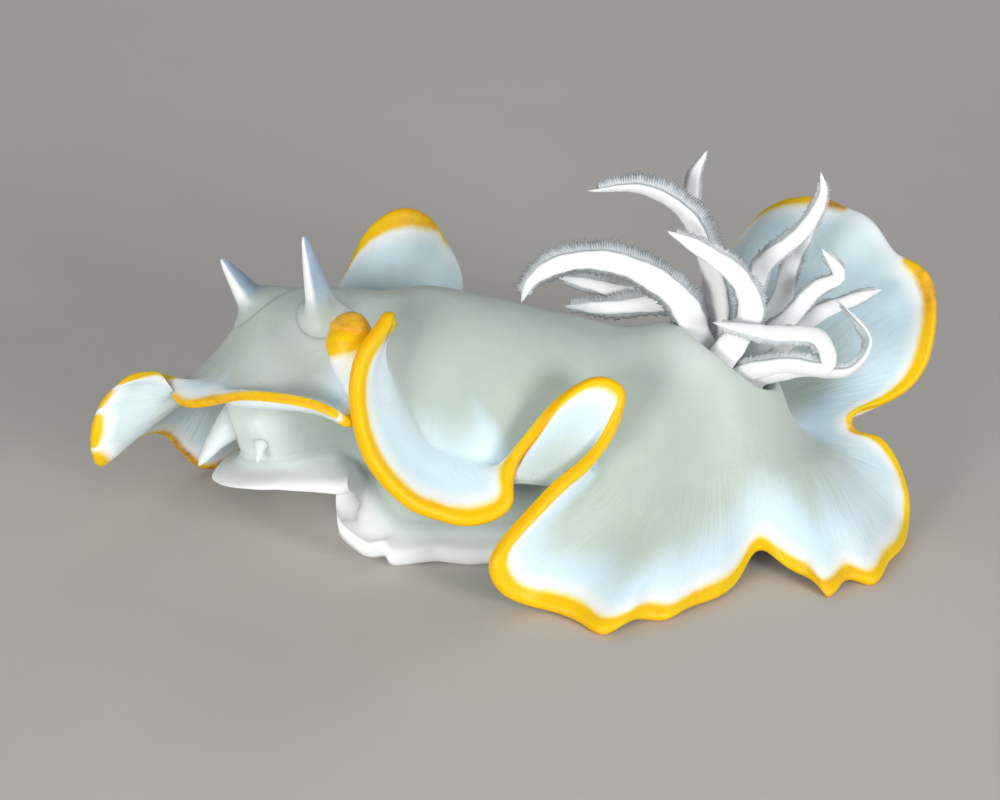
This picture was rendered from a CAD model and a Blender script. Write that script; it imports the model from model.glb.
# The looks of Ardeadoris egretta, a sea slug with a wide ruffled mantle, resting on a pale floor.
# Head towards -X, tail towards +X, the animal's left side towards -Y, sole on z = 0.
# Numbers are in millimetres or degrees; SCALE turns millimetres into metres.
import math

import bpy
import numpy as np
from mathutils import Matrix, Vector


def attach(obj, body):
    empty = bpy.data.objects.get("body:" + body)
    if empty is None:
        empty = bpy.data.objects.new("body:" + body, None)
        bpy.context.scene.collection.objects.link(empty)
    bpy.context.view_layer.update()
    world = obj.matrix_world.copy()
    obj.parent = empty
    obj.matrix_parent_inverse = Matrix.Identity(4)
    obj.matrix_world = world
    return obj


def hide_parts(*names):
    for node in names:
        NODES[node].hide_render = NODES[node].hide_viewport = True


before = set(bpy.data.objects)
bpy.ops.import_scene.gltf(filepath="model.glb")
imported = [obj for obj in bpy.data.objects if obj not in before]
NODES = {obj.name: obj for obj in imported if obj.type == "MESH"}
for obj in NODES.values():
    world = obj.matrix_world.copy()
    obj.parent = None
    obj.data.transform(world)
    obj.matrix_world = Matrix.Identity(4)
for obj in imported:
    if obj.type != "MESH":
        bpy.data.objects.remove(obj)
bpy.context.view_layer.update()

SCALE = 0.001
GAP = 0.3
AROUND = 640  # columns of the skin, evenly spaced along the mantle's edge

# ---------------------------------------------------------------- picture
CAMERA_AZ, CAMERA_EL, CAMERA_ROLL = -12.0, 26.0, 6.0
CAMERA_AIM, CAMERA_FAR, CAMERA_PX_MM = (0.0, 0.0, 15.5), 430.0, 8.7
WORLD_TONE, WORLD_POWER = (0.96, 0.98, 1.0, 1.0), 0.30
FLOOR_TONE, FLOOR_TONE_2 = (214, 210, 204), (208, 204, 198)
LIGHTS = (
    ("left", (-0.40, -0.48, 0.12), (0.0, 0.0, 0.015), 0.24, 2.25, (1.0, 0.99, 0.965)),
    ("right", (0.36, -0.50, 0.18), (0.0, 0.0, 0.015), 0.26, 2.3, (0.97, 0.985, 1.0)),
    ("back", (0.10, 0.45, 0.45), (0.0, 0.0, 0.02), 0.30, 0.30, (1.0, 1.0, 1.0)),
)

# ---------------------------------------------------------------- colours, as seen on a screen
DEEP_TONE, DEEP_TONE_2 = (198, 209, 199), (190, 202, 193)
MARGIN_TONE, MARGIN_TONE_2 = (226, 243, 254), (218, 238, 253)
WHITE_TONE = (250, 253, 253)
BAND_RIM, BAND_OUT, BAND_MID, BAND_INNER = (250, 182, 10), (253, 190, 8), (255, 203, 14), (255, 222, 80)
WORN_LIGHT, WORN_DARK = (214, 150, 60), (150, 98, 52)
FEELER_CLEAR, FEELER_CLEAR_2 = (160, 178, 196), (150, 168, 188)
GILL_FACE, GILL_SIDE, GILL_SIDE_2 = (250, 252, 252), (220, 227, 227), (206, 214, 214)
LEAF_ROOT, LEAF_TIP = (218, 224, 226), (140, 146, 150)

# ---------------------------------------------------------------- the fine skin
BACK_STEPS, MANTLE_STEPS, RIM_STEPS, UNDER_STEPS, FLANK_STEPS = 44, 42, 8, 28, 12
FOOT_CURVE = ((0.87, 3.5), (0.89, 2.9), (0.925, 2.45), (0.96, 2.25), (0.985, 2.0), (0.998, 1.6), (1.003, 1.1), (0.998, 0.6),
              (0.98, 0.2), (0.955, 0.03), (0.93, 0.0))
FOOT_WIDEST = 6
POCKET_DEEP = 0.6
RIM_FULL = 1.1
RIM_THICK = ((0, 1.15), (20, 1.1), (26, 1.0), (28.3, 1.6), (31, 1.1), (53, 1.5), (60, 1.5), (79, 1.6), (83, 1.3),
             (97, 1.4), (108, 1.3), (120, 1.3), (179, 1.25), (186, 1.2), (200, 1.35), (216, 1.25), (223, 1.1), (240, 1.2), (290, 1.35), (320, 1.2),
             (334, 1.5), (342, 1.7), (347, 1.0))
# where the mantle turns over tightly it is thinner: root angle, share
SLIM = ((0, 1.0), (91.5, 1.0), (94.0, 0.35), (96.2, 0.35), (98.0, 1.0), (345, 1.0))
# how far in from the edge the mantle's white begins to fade and where it is gone: root angle, from, to
MARGIN = ((0, 1.2, 6.5), (24, 1.2, 6.5), (32, 3.0, 9.0), (56, 5.0, 13.0), (80, 6.0, 15.0), (88, 3.5, 10.0), (97, 3.5, 11.0), (120, 4.0, 12.0), (145, 4.0, 14.0),
          (168, 6.0, 18.0), (180, 5.0, 14.0), (190, 5.0, 14.0), (215, 7.0, 19.0), (240, 7.0, 19.0), (275, 5.0, 15.0), (299, 5.0, 15.0), (312, 4.0, 10.0),
          (329, 2.5, 11.0), (343, 2.0, 9.0), (350, 1.4, 7.0))
# round the mantle by root angle: width of the band above and below the edge, its strength, how worn and brown it is
BAND = (
    (0, 0.95, 0.85, 1.0, 0.12), (16, 0.95, 0.85, 1.0, 0.10), (22, 0.85, 0.8, 1.0, 0.2), (23.6, 0.7, 0.6, 0.9, 0.1), (24.5, 0.5, 0.4, 0.1, 0.0),
    (25.1, 0.5, 0.4, 0.2, 0.0), (25.9, 1.5, 1.4, 1.0, 0.1), (27.6, 1.6, 1.5, 1.0, 0.1), (29.0, 1.3, 1.2, 1.0, 0.1), (31, 0.9, 0.8, 0.8, 0.0), (36, 1.2, 1.2, 1.0, 0.0),
    (42, 1.5, 1.4, 1.0, 0.3), (48, 1.7, 1.6, 1.0, 0.2), (52, 2.4, 1.8, 1.0, 0.1),
    (56, 2.8, 1.8, 1.0, 0.0), (60, 2.4, 1.7, 1.0, 0.0), (64, 2.2, 1.5, 1.0, 0.0), (70, 2.2, 1.5, 1.0, 0.0), (78, 2.3, 1.6, 1.0, 0.0), (81, 2.1, 1.7, 1.0, 0.0),
    (84, 1.9, 1.8, 1.0, 0.0), (89, 1.7, 1.7, 1.0, 0.0), (93, 1.9, 1.5, 1.0, 0.0), (98, 2.5, 1.4, 1.0, 0.0),
    (104, 2.6, 1.3, 1.0, 0.0), (108, 2.3, 1.3, 1.0, 0.1), (116, 2.3, 1.3, 1.0, 0.1), (122, 2.5, 1.3, 1.0, 0.0), (129, 2.3, 1.3, 1.0, 0.0),
    (137, 2.3, 1.3, 1.0, 0.0), (145, 2.4, 1.4, 1.0, 0.35), (153, 2.1, 1.3, 1.0, 0.1), (159, 2.0, 1.3, 1.0, 0.0), (166, 1.9, 1.3, 1.0, 0.0),
    (173, 1.8, 1.4, 1.0, 0.0), (178, 2.4, 1.6, 1.0, 0.0), (181, 2.4, 1.6, 1.0, 0.1), (184, 1.3, 1.1, 1.0, 0.3), (188, 1.9, 1.4, 1.0, 0.1),
    (196, 2.8, 1.5, 1.0, 0.0), (204, 2.8, 1.5, 1.0, 0.0), (210, 2.4, 1.4, 1.0, 0.0), (214, 2.2, 1.3, 1.0, 0.5), (216.5, 2.1, 1.3, 1.0, 0.6),
    (218.4, 1.3, 1.0, 0.9, 0.2), (219.6, 0.6, 0.5, 0.05, 0.0), (225.6, 0.5, 0.4, 0.05, 0.0), (227.0, 0.9, 0.8, 0.8, 0.8), (228.6, 1.3, 1.1, 1.0, 0.8),
    (231, 1.5, 1.1, 1.0, 0.15), (236, 1.4, 1.1, 0.95, 0.1), (241, 1.1, 1.0, 0.7, 0.1), (246, 1.5, 1.3, 1.0, 0.0), (264, 1.7, 1.4, 1.0, 0.0),
    (271, 1.5, 1.3, 1.0, 0.0), (275, 0.6, 0.5, 0.1, 0.0), (282, 0.5, 0.5, 0.05, 0.0), (284.4, 1.2, 1.1, 0.9, 0.1), (285.3, 0.9, 0.9, 0.5, 0.0),
    (286.3, 1.5, 1.2, 1.0, 0.3), (288, 2.3, 1.4, 1.0, 0.25), (291, 3.0, 1.4, 1.0, 0.1), (299, 3.6, 1.5, 1.0, 0.0), (305, 1.7, 1.4, 1.0, 0.3),
    (311, 1.2, 1.6, 1.0, 0.9), (316, 1.2, 1.5, 1.0, 0.9), (320, 1.2, 1.3, 0.9, 0.4), (326, 1.4, 1.4, 1.0, 0.1), (329.0, 1.8, 1.9, 1.0, 0.05),
    (331.4, 1.7, 1.8, 1.0, 0.05), (332.3, 0.9, 0.9, 0.25, 0.0), (333.2, 1.8, 1.9, 1.0, 0.05), (335.2, 1.7, 1.8, 1.0, 0.0), (336.1, 0.7, 0.7, 0.1, 0.0),
    (337.0, 1.6, 1.8, 1.0, 0.1), (338.4, 1.6, 1.8, 1.0, 0.1), (339.2, 0.7, 0.7, 0.1, 0.0), (340.2, 3.2, 3.6, 1.0, 0.15), (342, 3.6, 4.2, 1.0, 0.25),
    (345.4, 3.2, 3.8, 1.0, 0.3), (346.4, 0.8, 0.8, 0.2, 0.0), (348, 0.6, 0.6, 0.1, 0.0), (349.6, 1.1, 1.1, 1.0, 0.3), (354, 1.05, 0.95, 1.0, 0.35),
)
BAND_EASE = 0.3
# bulges of the face: root angle, half width, share of the way down, half height, rise
CHEEKS = ((6.0, 16.0, 0.52, 0.30, 2.2), (-20.0, 12.0, 0.50, 0.30, 0.8), (38.0, 16.0, 0.6, 0.35, 1.0))
# the foot's margin: root angle, and how far it is pushed along x, y and z
FRILL = ((-30, 0.0, 0.0, 0.8), (-12, 0.0, 0.0, 1.0), (4, 0.2, -0.4, 1.0), (18, 0.4, -0.6, 0.8), (32, 0.6, -1.0, -0.1), (42, 0.9, -1.8, -0.7),
         (48, 0.2, -2.2, -0.4), (52, -1.4, -1.0, -0.6), (55, -3.2, -0.6, -1.6), (60, -4.4, -1.4, -2.2), (65, -2.8, -2.0, -1.6),
         (68.5, -1.6, -1.0, 0.4), (71, -2.0, -1.6, 0.0), (75, -1.6, -1.4, 0.0), (80, -0.6, -0.9, 0.3), (84, -0.2, -1.3, 0.0),
         (90, 0.0, -0.9, 0.3), (95, 0.0, -1.3, 0.0), (104, 0.0, -1.0, 0.0), (120, 0.0, -0.4, 0.0), (160, 0.0, 0.0, 0.0),
         (240, 0.0, 0.0, 0.0), (290, 0.0, 0.4, 0.0))
FRILL_EASE = 1.2
# how much the foot's lip is thinned from below: root angle, millimetres
LIP = ((-70, 0.3), (-45, 1.0), (-20, 1.1), (5, 1.0), (28, 0.8), (42, 0.3), (52, 0.0), (180, 0.0), (240, 0.0))
# the pleat between the front margin and the left lobe: a thumb of mantle with a yellow ring and a brown tip; points and half widths
PLEAT = ((-19.1, -15.4, 22.7, 0.9), (-19.4, -15.0, 24.5, 1.5), (-19.9, -14.4, 26.6, 2.15), (-20.2, -13.4, 28.7, 2.5), (-19.9, -12.4, 30.5, 2.45), (-19.6, -11.7, 31.9, 2.15))
# where the skin is paler: on the head and before the gills; the middle, half width and strength
PALE = ((-22.5, -9.5, 26.5, 5.0, 0.42), (-29.5, -9.5, 24.5, 4.0, 0.12), (20.5, -5.0, 25.0, 3.6, 0.30))
PLEAT_RING = 0.66  # where along it the ring lies
# the skin's low mound round each rhinophore: rise and half width
FEELER_MOUND = (1.5, 1.9)
# gills: which way their leaflets face, how far the two rows spread, the leaflets' length, the stalk's outer flatness
GILL_LOOK = {
    "gill_01": ((0.1, 0.72, 0.68), 62.0, 1.9, 0.5),
    "gill_02": ((0.75, 0.5, 0.45), 32.0, 1.9, 0.5),
    "gill_03": ((0.4, 0.9, 0.0), 42.0, 1.2, 0.5),
    "gill_04": ((0.35, 0.85, 0.35), 50.0, 1.4, 0.5),
    "gill_05": ((0.35, 0.75, -0.6), 50.0, 1.4, 0.5),
    "gill_06": ((0.5, 0.85, -0.2), 44.0, 1.3, 0.5),
    "gill_07": ((0.4, 0.8, -0.5), 46.0, 1.2, 0.5),
    "gill_08": ((0.0, 0.75, 0.6), 46.0, 1.1, 0.5),
    "gill_09": ((-0.3, 0.8, 0.5), 46.0, 1.1, 0.5),
    "gill_10": ((0.0, 0.85, -0.6), 50.0, 1.4, 0.5),
    "gill_11": ((0.2, 0.6, 0.8), 50.0, 2.0, 0.5),
    "gill_12": ((0.2, 0.6, 0.8), 50.0, 1.8, 0.5),
}
GREY_GILLS = ("gill_01", "gill_02")
GILL_WIDE, GILL_TALL = 1.32, 1.05  # the stalk's half width and half height against its radius
TOOTH = 0.26  # from one leaflet to the next along a stalk

# ---------------------------------------------------------------- midline
BEND_FROM, BEND_LEN, BEND = -5.0, 26.0, 46.0  # the head turns to the animal's left
ROLL = 17.0  # and rolls, left side up
LIFT, LIFT_FROM, LIFT_LEN = 8.5, -12.0, 14.0  # the front of the foot is held off the floor

# ---------------------------------------------------------------- trunk
MID, HALF_LEN, FOCUS, HALF_WIDE, BLUNT = 3.0, 36.0, 28.5, 14.0, 0.8
BACK_ROUND = 2.1
CREST = ((-34, 14.6), (-29, 17.0), (-24, 20.4), (-19, 25.0), (-14, 28.6), (-10, 29.6), (0, 27.4),
         (12, 24.5), (22, 21.8), (27.5, 20.2), (32, 16.4), (36.5, 12.6), (43, 10.6))
WAIST = ((-34, 0.80), (-24, 0.84), (-14, 0.95), (-4, 1.0), (20, 1.0), (34, 0.92), (42, 0.85))
SHOULDER = ((0, 13.4), (28, 13.0), (42, 15.0), (52, 19.5), (60, 19.5), (68, 16.8), (77, 14.6), (90, 14.5), (120, 13.5), (150, 11.5), (180, 11.0),
            (210, 13.0), (240, 13.5), (270, 13.5), (300, 14.5), (330, 14.6))
TRUNK_NODES = (("head", -60, -22), ("neck", -22, -8), ("trunk_mid", -8, 10),
               ("trunk_rear", 10, 28), ("tail", 28, 60))

# ---------------------------------------------------------------- foot
FOOT_MID, FOOT_HALF, FOOT_WIDE = 2.0, 38.0, 10.5
FOOT_TOP, FOOT_IN = 4.2, 0.86
FOOT_PROFILE = ((0.93, 3.2), (0.985, 2.3), (1.0, 1.2), (0.985, 0.35), (0.95, 0.0))
FOOT_NODES = (("foot_front", -60, -21), ("foot_mid", -21, 14), ("foot_rear", 14, 60))

# ---------------------------------------------------------------- mantle
FOLD_BLUR, FOLD_FADE, ROOT_REACH = 9.0, 1.3, 0.75
# how far the mantle goes on in the back's own direction before it turns to its edge, round the body
SWAYING = ((0, 1.0), (44, 1.0), (51, 0.5), (80, 0.6), (88, 1.0), (345, 1.0))
THICK_ROOT, THICK_EDGE = 2.7, 1.3
# stations round the free edge: root angle round the trunk, x, y, z
EDGE = (
    (0, -31, -12.5, 22.5), (13, -25.8, -16, 23.7), (22, -22.5, -18, 23.6), (26, -21.1, -18.3, 22.7),
    (28, -19.9, -17.4, 21.6), (31, -19.3, -16.4, 23.5), (36, -18.8, -15.4, 26.2), (42, -18.2, -14.4, 28.6),
    (48, -17.1, -13.4, 30.8), (51.5, -16.1, -12.6, 32), (54, -15.1, -12.4, 32.5), (56, -15.6, -13.8, 32),
    (57.7, -16.8, -15.4, 30.9), (60, -18.7, -17.2, 29), (62, -19.3, -18.2, 25.8), (64, -18.6, -18.8, 21.6),
    (66, -17.1, -19.2, 17.8), (69, -14.3, -19.4, 14.4), (71.5, -11.4, -19.4, 12.1), (73, -9.8, -19.3, 11.7),
    (75, -7.2, -19.3, 10.7), (77.5, -4.6, -19.2, 10.9), (79.3, -2.8, -19, 11.7), (80.5, -1.9, -18.6, 12.9),
    (81.3, -2.2, -17.6, 13.8), (82.5, -2.1, -16.4, 15), (84, -1, -15.2, 17), (85.5, 1, -14.2, 19.6),
    (87, 3.7, -13.2, 22.5), (89, 7.9, -12.7, 24.6), (91, 11, -13.6, 23.2), (92.6, 10.6, -15.2, 20.8),
    (94, 9.2, -16.6, 18.1), (95.2, 7.1, -17.6, 15.8), (96.1, 4.1, -18.8, 13.8), (97, 0.8, -20.6, 11),
    (98, -2.2, -22, 8), (99, -3.2, -22.6, 6.4), (101, -1.8, -22.7, 3.4), (103, 1.1, -22.2, 1.7),
    (105, 3.6, -22.7, 1.5), (106.3, 6.1, -24.1, 1.3), (107.6, 8.4, -27.3, 1.1), (109.3, 10.6, -27.1, 1.7),
    (111, 13.9, -24.3, 1.4), (113, 16.3, -24.4, 1.1), (116, 20, -21.6, 1.3), (119, 23.8, -19.3, 1.3),
    (122, 26.5, -16.2, 1.5), (125.5, 28.2, -13.6, 2.7), (129, 29.7, -12, 3.5), (133, 30.8, -13.5, 3),
    (137, 32.5, -14.6, 2.2), (141, 34.8, -15.7, 1.5), (144.5, 36, -19, 1), (147, 37.6, -17.8, 1.1),
    (149.3, 39.2, -15.7, 1.9), (151.5, 40.7, -15.5, 1.4), (154, 42.1, -16.2, 1), (156.3, 43.9, -14.3, 1.3),
    (158.5, 45.1, -11.8, 1.6), (162, 48, -7.8, 1.4), (166, 49.9, -3.1, 1.8), (170, 49.9, -2, 4.2),
    (173, 49.4, 0, 6.3), (176, 47.7, 1, 9.1), (178.5, 45.9, 1.6, 10.8), (180.7, 44.2, 2, 10.7),
    (183.5, 42.5, 2.4, 11.4), (188, 42.9, 3.2, 12.6), (195, 45.8, 3.6, 13.8), (201, 49.2, 4.2, 15.4),
    (205, 51.5, 5.4, 17.8), (209, 52.5, 7, 21.2), (213, 52.7, 8.8, 24.8), (216, 51.8, 10, 27.5),
    (218.2, 49.7, 11.2, 28.7), (219.8, 48.1, 11.8, 28.9), (221.4, 47.1, 12.8, 30.1), (223.5, 45.3, 14, 32.4),
    (225.5, 43.3, 15, 33.2), (227.2, 41.8, 16.2, 33.2), (228.6, 40.6, 16.8, 33.8), (232, 37.6, 18.4, 33.4),
    (236, 34.4, 20, 31.6), (241, 32, 21.8, 27.3), (245, 28.6, 24, 18), (249.5, 24, 25.5, 7), (255, 16.5, 27.5, 1.7),
    (264, 7, 28, 1.2), (271, 1, 26, 4.5), (275, -1.8, 22.5, 13), (279, -1.6, 20.2, 20.7), (282, -2.9, 21.6, 23.7),
    (284, -3.9, 22.2, 25.1), (285.5, -4.9, 22, 26.8), (288, -6.9, 21.5, 28.7), (291, -9.9, 21, 29.5),
    (295, -13.9, 20, 27.3), (299, -16.2, 18.6, 22.4), (304, -20.5, 19, 9.5), (308, -26.5, 15.8, 3.4),
    (312, -32, 11.5, 1.2), (315, -35.1, 9.5, 4.3), (318, -37.4, 7.6, 7.6), (321, -39.7, 5, 9.4),
    (324, -42.6, 2, 9.7), (327, -45, -0.8, 9.2), (329, -46, -2.6, 8.9), (331.5, -46.4, -3.6, 10.5),
    (333, -46.6, -3.8, 12.3), (335, -46.2, -3.4, 14.5), (337, -45.2, -3, 16.2), (339, -44.1, -2.4, 16.8),
    (341, -42.5, -2, 18.3), (343, -40.4, -2, 19.2), (344.5, -39.2, -2.6, 19.7), (346.3, -38.4, -3.8, 19.5),
    (348, -38.2, -5.2, 19), (349.8, -37.9, -6.6, 18.6), (351.6, -36.8, -7.8, 18.8), (354.5, -34.7, -9.2, 20),
)

# ---------------------------------------------------------------- feelers
RHINO_BASE, RHINO_TIP = 1.75, 0.45
RHINO_SHEATH_IN, RHINO_SHEATH_OUT, RHINO_SHEATH_HIGH = 2.05, 2.75, 1.3
RHINO_TIPS = {"left": (-25.2, -6.8, 38.6), "right": (-33.0, 1.5, 32.0)}
RHINO_BASES = {"left": (-23.2, 5.6), "right": (-24.4, -3.2)}
# oral tentacles: root angle round the head, share of the way down the face, root radius, tip
ORAL = {"left": (5.0, 0.70, 1.35, (-29.1, -11.7, 13.2)), "right": (-16.0, 0.62, 2.2, (-35.2, -8.2, 10.9))}

# ---------------------------------------------------------------- gills
GILL_CENTRE, GILL_RING = (26.0, 0.0), (4.5, 4.3)
COLLAR_IN, COLLAR_OUT = (6.1, 6.1), (7.0, 7.0)
COLLAR_HIGH = ((0, 2.0), (40, 1.8), (110, 1.4), (150, 1.4), (175, 2.4), (205, 3.4), (240, 4.2), (265, 4.0), (290, 3.0), (330, 2.4))
# name, place on the ring: degrees and share of its radius, root radius, then the points its stalk passes
GILLS = (
    ("gill_01", 196, 0.78, 1.30, (19.8, -0.7, 28.5), (15.9, 0.0, 31.4), (11.4, 0.6, 32.9), (7.6, 0.9, 32.9), (4.4, 1.2, 31.7), (2.4, 1.5, 29.7), (1.7, 2.0, 27.0)),
    ("gill_02", 160, 0.35, 1.30, (24.6, 1.6, 28.3), (23.1, 2.5, 32.3), (20.0, 3.2, 37.8), (14.8, 4.0, 40.5), (8.6, 4.5, 39.9)),
    ("gill_03", 110, 0.98, 1.00, (24.6, 6.0, 29.5), (22.2, 7.2, 35.0), (21.6, 8.0, 40.1), (22.8, 8.0, 43.8)),
    ("gill_04", 242, 0.98, 1.30, (27.2, -3.6, 28.6), (25.6, -3.0, 32.6), (20.5, -2.5, 36.2), (16.7, -2.0, 38.0)),
    ("gill_05", 77, 1.00, 1.00, (29.5, 4.4, 28.5), (30.0, 3.4, 31.8), (34.1, 3.5, 35.9), (36.2, 4.5, 40.1), (35.7, 5.0, 42.7)),
    ("gill_06", 47, 1.00, 1.15, (33.2, 4.8, 26.9), (33.6, 5.6, 30.0), (35.5, 6.8, 34.0), (37.2, 7.7, 36.5)),
    ("gill_07", 345, 0.42, 1.00, (33.0, 0.0, 26.6), (36.0, 0.9, 29.9), (38.6, 1.6, 31.2), (36.2, 2.0, 34.4)),
    ("gill_08", 12, 0.98, 1.00, (36.8, 3.2, 25.2), (41.7, 5.0, 26.6), (45.4, 6.0, 27.6)),
    ("gill_09", 312, 0.92, 1.15, (33.2, -6.2, 22.7), (38.8, -7.2, 23.4), (41.2, -5.0, 26.2), (37.3, -2.5, 30.3)),
    ("gill_10", 276, 0.90, 1.15, (30.8, -7.1, 23.9), (35.6, -8.5, 24.4), (34.6, -7.2, 27.4), (28.8, -6.3, 27.6), (22.4, -5.6, 28.4)),
    ("gill_11", 162, 0.95, 0.90, (20.2, 2.8, 26.6), (17.0, 3.8, 26.2), (12.6, 4.8, 25.2), (7.6, 5.8, 24.8)),
    ("gill_12", 140, 0.95, 0.90, (20.0, 4.8, 26.8), (14.6, 6.4, 26.4), (11.0, 7.2, 27.0), (6.9, 7.8, 27.6)),
)
GILL_JOINT = 0.57  # share of the stalk that is its root length
GILL_TIP = 0.42  # share of the root radius left at the tip

def smooth(x):
    x = np.clip(x, 0.0, 1.0)
    return x * x * (3.0 - 2.0 * x)


def unit(v):
    return v / np.maximum(np.linalg.norm(v, axis=-1, keepdims=True), 1e-12)


def power(v, p):
    return np.sign(v) * np.abs(v) ** p


def eased(x, table, blur):
    """A soft curve through a short table of (place, value) pairs."""
    places = np.array([row[0] for row in table], float)
    values = np.array([row[1] for row in table], float)
    steps = np.linspace(-2.0, 2.0, 17)
    bell = np.exp(-steps * steps)
    bell /= bell.sum()
    x = np.asarray(x, float)
    out = np.zeros(x.shape)
    for step, share in zip(steps, bell):
        at = x + step * blur
        v = np.interp(at, places, values)
        v = np.where(at < places[0], values[0] + (at - places[0]) * (values[1] - values[0]) / (places[1] - places[0]), v)
        v = np.where(at > places[-1], values[-1] + (at - places[-1]) * (values[-1] - values[-2]) / (places[-1] - places[-2]), v)
        out += share * v
    return out


def around(table):
    """The same table, of one whole turn, carried on past both ends."""
    table = tuple(row for row in table if row[0] < 360)
    return tuple((a - 360, v) for a, v in table) + table + tuple((a + 360, v) for a, v in table)


# the midline's own path, laid out once
STATION = np.linspace(-70, 80, 601)
YAW = np.radians(BEND) * smooth((BEND_FROM - STATION) / BEND_LEN)
LINE_X = np.concatenate([[0], np.cumsum((np.cos(YAW)[1:] + np.cos(YAW)[:-1]) / 2 * np.diff(STATION))])
LINE_Y = np.concatenate([[0], np.cumsum((np.sin(YAW)[1:] + np.sin(YAW)[:-1]) / 2 * np.diff(STATION))])
LINE_X -= np.interp(0, STATION, LINE_X)
LINE_Y -= np.interp(0, STATION, LINE_Y)


def body(xm, w, h):
    """The point at this station of the midline, this far to the left and this high over the sole."""
    xm, w, h = np.asarray(xm, float), np.asarray(w, float), np.asarray(h, float)
    yaw = np.interp(xm, STATION, YAW)
    rise = smooth((LIFT_FROM - xm) / LIFT_LEN)
    roll = np.radians(ROLL) * rise
    side = w * np.cos(roll) - h * np.sin(roll)
    return np.stack([np.interp(xm, STATION, LINE_X) + np.sin(yaw) * side,
                     np.interp(xm, STATION, LINE_Y) - np.cos(yaw) * side,
                     LIFT * rise + w * np.sin(roll) + h * np.cos(roll)], -1)


def plan(theta, q):
    """Station and side distance: q = 0 on the ridge of the back, 1 where the mantle leaves the trunk."""
    xm = MID - (FOCUS + (HALF_LEN - FOCUS) * q) * power(np.cos(theta), BLUNT)
    return xm, HALF_WIDE * q * power(np.sin(theta), BLUNT) * eased(xm, WAIST, 3.0)


def back(theta, q):
    xm, w = plan(theta, q)
    low = eased(np.degrees(theta) % 360.0, around(SHOULDER), 9.0)
    return body(xm, w, low + (eased(xm, CREST, 3.0) - low) * (1.0 - q ** BACK_ROUND))


def on_back(xm, w, over=0.0):
    """The point of the back's skin at this station and side distance, raised by over."""
    low, high = 1e-4, 1.0
    for _ in range(26):
        q = (low + high) / 2
        c = (MID - xm) / (FOCUS + (HALF_LEN - FOCUS) * q)
        s = w / (HALF_WIDE * q * float(eased(xm, WAIST, 3.0)))
        outside = abs(c) ** (2 / BLUNT) + abs(s) ** (2 / BLUNT) > 1
        low, high = (q, high) if outside else (low, q)
    theta = math.atan2(float(power(s, 1 / BLUNT)), float(power(c, 1 / BLUNT)))
    shoulder = float(eased(math.degrees(theta) % 360.0, around(SHOULDER), 9.0))
    h = shoulder + (float(eased(xm, CREST, 3.0)) - shoulder) * (1.0 - q ** BACK_ROUND)
    return body(xm, w, h + over)


# ---------------------------------------------------------------- the mantle's surface
def softened(points, width, total):
    """A closed line blurred by a bell of this width."""
    if width <= 0:
        return points
    n = len(points)
    k = np.fft.rfftfreq(n, d=total / n)
    return np.fft.irfft(np.fft.rfft(points, axis=0) * np.exp(-2 * (np.pi * k * width) ** 2)[:, None], n, axis=0)


def edge_line():
    """The mantle's edge as an even closed line: points, root angles, length, and where each station lies."""
    points = np.array([row[1:] for row in EDGE], float)
    angles = np.array([row[0] for row in EDGE], float)
    n = len(points)
    turn = np.arange(-2, n + 3)
    data = np.concatenate([points[turn % n], (angles[turn % n] + 360.0 * (turn // n))[:, None]], 1)
    knots = np.concatenate([[0], np.cumsum(np.sqrt(np.linalg.norm(np.diff(data[:, :3], axis=0), axis=1)))])
    rows = []
    for i in range(2, n + 2):
        t0, t1, t2, t3 = knots[i - 1:i + 3]
        m1 = (data[i] - data[i - 1]) / (t1 - t0) - (data[i + 1] - data[i - 1]) / (t2 - t0) + (data[i + 1] - data[i]) / (t2 - t1)
        m2 = (data[i + 1] - data[i]) / (t2 - t1) - (data[i + 2] - data[i]) / (t3 - t1) + (data[i + 2] - data[i + 1]) / (t3 - t2)
        u = np.linspace(0, 1, 24, endpoint=False)[:, None]
        rows.append((2 * u ** 3 - 3 * u ** 2 + 1) * data[i] + (u ** 3 - 2 * u ** 2 + u) * m1 * (t2 - t1)
                    + (3 * u ** 2 - 2 * u ** 3) * data[i + 1] + (u ** 3 - u ** 2) * m2 * (t2 - t1))
    line = np.concatenate(rows)
    line = np.concatenate([line, line[:1] + np.array([0, 0, 0, 360.0])])
    length = np.concatenate([[0], np.cumsum(np.linalg.norm(np.diff(line[:, :3], axis=0), axis=1))])
    total = length[-1]
    at = np.linspace(0, total, AROUND, endpoint=False)
    even = np.stack([np.interp(at, length, line[:, k]) for k in range(4)], -1)
    ramp = np.arange(AROUND) * 360.0 / AROUND
    theta = softened((even[:, 3] - ramp)[:, None], 1.5, total)[:, 0] + ramp
    return softened(even[:, :3], 0.9, total), np.radians(theta), total, length[::24]


EDGE_POINTS, EDGE_THETA, EDGE_TOTAL, STATION_AT = edge_line()
ROOT = back(EDGE_THETA, np.ones(AROUND))
ROOT_WAY = unit(ROOT - back(EDGE_THETA, np.full(AROUND, 0.985)))
BASE = softened(EDGE_POINTS, FOLD_BLUR, EDGE_TOTAL)
REACH = ROOT_REACH * np.linalg.norm(BASE - ROOT, axis=1, keepdims=True)
SWAY = eased(np.degrees(EDGE_THETA) % 360.0, around(SWAYING), 3.0)[:, None]


def mantle(t):
    """The upper skin of the mantle at share t of the way out: each ruffle grows from nothing at the root."""
    line = softened(EDGE_POINTS, FOLD_BLUR * (1 - np.minimum(t, 1.0).min()) ** FOLD_FADE, EDGE_TOTAL)
    t = t[:, None]
    return ROOT + (line - ROOT) * t + SWAY * (ROOT_WAY * REACH - (BASE - ROOT)) * t * (1 - t) ** 2


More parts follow.
